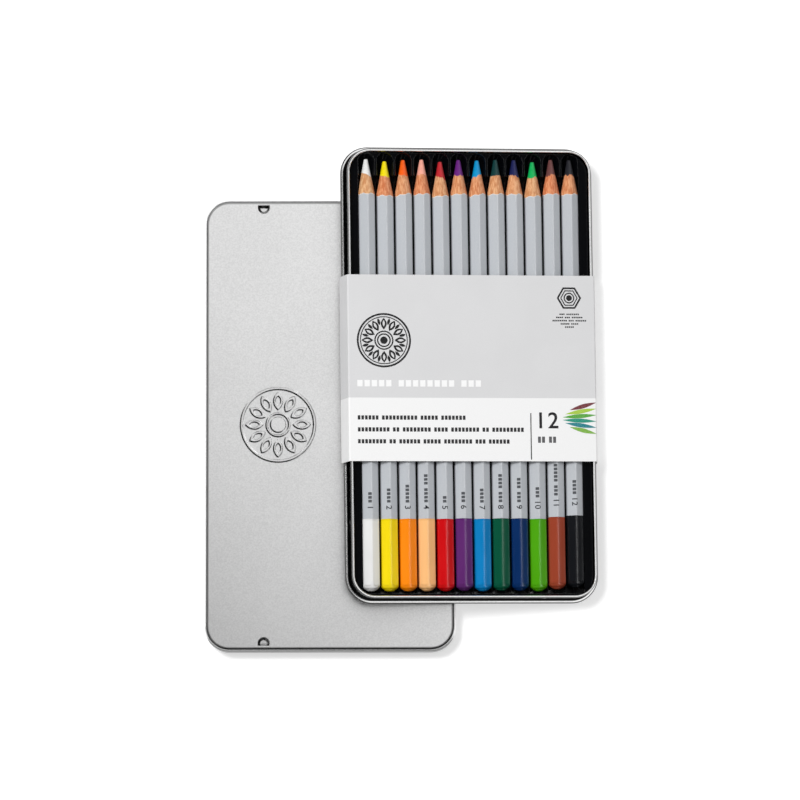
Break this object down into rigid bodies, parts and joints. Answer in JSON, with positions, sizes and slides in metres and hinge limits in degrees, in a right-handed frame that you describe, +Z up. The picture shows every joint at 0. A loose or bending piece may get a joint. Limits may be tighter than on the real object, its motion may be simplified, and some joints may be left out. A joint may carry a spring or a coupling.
{
  "type": "colored pencil box",
  "caption": "Open slim tinplate tin of coloured pencils in a black moulded tray with a card sleeve, leaning on its lid.",
  "frame": {"origin": "on the table, below the middle of the whole object's box", "axes": "+Z up, +Y along the pencils from their dipped ends to their points, +X from the lid to the base"},
  "size_m": [0.1588, 0.2046, 0.026],
  "materials": {
    "tinplate": "satin, bare tinplate with a fine grain",
    "black_film": "gloss, thermoformed film",
    "sleeve_card": "printed pale grey and white, satin",
    "grey_lacquer": "grey lacquer, bare cedar at the sharpened cone",
    "white_core": "white pigment core, waxy",
    "white_dip": "white gloss lacquer",
    "yellow_core": "yellow pigment core, waxy",
    "yellow_dip": "yellow gloss lacquer",
    "orange_core": "orange pigment core, waxy",
    "orange_dip": "orange gloss lacquer",
    "peach_core": "peach pigment core, waxy",
    "peach_dip": "peach gloss lacquer",
    "red_core": "red pigment core, waxy",
    "red_dip": "red gloss lacquer",
    "plum_core": "plum pigment core, waxy",
    "plum_dip": "plum gloss lacquer",
    "azure_core": "azure pigment core, waxy",
    "azure_dip": "azure gloss lacquer",
    "dark_green_core": "dark green pigment core, waxy",
    "dark_green_dip": "dark green gloss lacquer",
    "dark_blue_core": "dark blue pigment core, waxy",
    "dark_blue_dip": "dark blue gloss lacquer",
    "grass_green_core": "grass green pigment core, waxy",
    "grass_green_dip": "grass green gloss lacquer",
    "sienna_core": "sienna pigment core, waxy",
    "sienna_dip": "sienna gloss lacquer",
    "black_core": "black pigment core, waxy",
    "black_dip": "black gloss lacquer"
  },
  "bodies": {
    "lid": {"lid": "tinplate"},
    "base": {"base_tin": "tinplate", "pencil_tray": "black_film"},
    "sleeve": {"card_sleeve": "sleeve_card"},
    "pencil_white": {"pencil_white_casing": "grey_lacquer", "pencil_white_core": "white_core", "pencil_white_dipped_end": "white_dip"},
    "pencil_yellow": {"pencil_yellow_casing": "grey_lacquer", "pencil_yellow_core": "yellow_core", "pencil_yellow_dipped_end": "yellow_dip"},
    "pencil_orange": {"pencil_orange_casing": "grey_lacquer", "pencil_orange_core": "orange_core", "pencil_orange_dipped_end": "orange_dip"},
    "pencil_peach": {"pencil_peach_casing": "grey_lacquer", "pencil_peach_core": "peach_core", "pencil_peach_dipped_end": "peach_dip"},
    "pencil_red": {"pencil_red_casing": "grey_lacquer", "pencil_red_core": "red_core", "pencil_red_dipped_end": "red_dip"},
    "pencil_plum": {"pencil_plum_casing": "grey_lacquer", "pencil_plum_core": "plum_core", "pencil_plum_dipped_end": "plum_dip"},
    "pencil_azure": {"pencil_azure_casing": "grey_lacquer", "pencil_azure_core": "azure_core", "pencil_azure_dipped_end": "azure_dip"},
    "pencil_dark_green": {"pencil_dark_green_casing": "grey_lacquer", "pencil_dark_green_core": "dark_green_core", "pencil_dark_green_dipped_end": "dark_green_dip"},
    "pencil_dark_blue": {"pencil_dark_blue_casing": "grey_lacquer", "pencil_dark_blue_core": "dark_blue_core", "pencil_dark_blue_dipped_end": "dark_blue_dip"},
    "pencil_grass_green": {"pencil_grass_green_casing": "grey_lacquer", "pencil_grass_green_core": "grass_green_core", "pencil_grass_green_dipped_end": "grass_green_dip"},
    "pencil_sienna": {"pencil_sienna_casing": "grey_lacquer", "pencil_sienna_core": "sienna_core", "pencil_sienna_dipped_end": "sienna_dip"},
    "pencil_black": {"pencil_black_casing": "grey_lacquer", "pencil_black_core": "black_core", "pencil_black_dipped_end": "black_dip"}
  },
  "joints": [
    {"name": "base_lift", "type": "slide", "parent": "lid", "child": "base", "axis": [0, 0, 1], "range_m": [0, 0.08]},
    {"name": "sleeve_slide", "type": "slide", "parent": "base", "child": "sleeve", "axis": [-0.0113, 0.9999, 0], "range_m": [0, 0.135]},
    {"name": "pencil_white_slide", "type": "slide", "parent": "base", "child": "pencil_white", "axis": [-0.0113, 0.9999, 0], "range_m": [-0.00073, 0.00143]},
    {"name": "pencil_yellow_slide", "type": "slide", "parent": "base", "child": "pencil_yellow", "axis": [-0.0113, 0.9999, 0], "range_m": [-0.00073, 0.00223]},
    {"name": "pencil_orange_slide", "type": "slide", "parent": "base", "child": "pencil_orange", "axis": [-0.0113, 0.9999, 0], "range_m": [-0.00073, 0.00163]},
    {"name": "pencil_peach_slide", "type": "slide", "parent": "base", "child": "pencil_peach", "axis": [-0.0113, 0.9999, 0], "range_m": [-0.00083, 0.00143]},
    {"name": "pencil_red_slide", "type": "slide", "parent": "base", "child": "pencil_red", "axis": [-0.0113, 0.9999, 0], "range_m": [-0.00073, 0.00223]},
    {"name": "pencil_plum_slide", "type": "slide", "parent": "base", "child": "pencil_plum", "axis": [-0.0113, 0.9999, 0], "range_m": [-0.00093, 0.00143]},
    {"name": "pencil_azure_slide", "type": "slide", "parent": "base", "child": "pencil_azure", "axis": [-0.0113, 0.9999, 0], "range_m": [-0.00073, 0.00153]},
    {"name": "pencil_dark_green_slide", "type": "slide", "parent": "base", "child": "pencil_dark_green", "axis": [-0.0113, 0.9999, 0], "range_m": [-0.00093, 0.00123]},
    {"name": "pencil_dark_blue_slide", "type": "slide", "parent": "base", "child": "pencil_dark_blue", "axis": [-0.0113, 0.9999, 0], "range_m": [-0.00093, 0.00123]},
    {"name": "pencil_grass_green_slide", "type": "slide", "parent": "base", "child": "pencil_grass_green", "axis": [-0.0113, 0.9999, 0], "range_m": [-0.00073, 0.00203]},
    {"name": "pencil_sienna_slide", "type": "slide", "parent": "base", "child": "pencil_sienna", "axis": [-0.0113, 0.9999, 0], "range_m": [-0.00153, 0.00103]},
    {"name": "pencil_black_slide", "type": "slide", "parent": "base", "child": "pencil_black", "axis": [-0.0113, 0.9999, 0], "range_m": [-0.00213, 0.00103]}
  ]
}
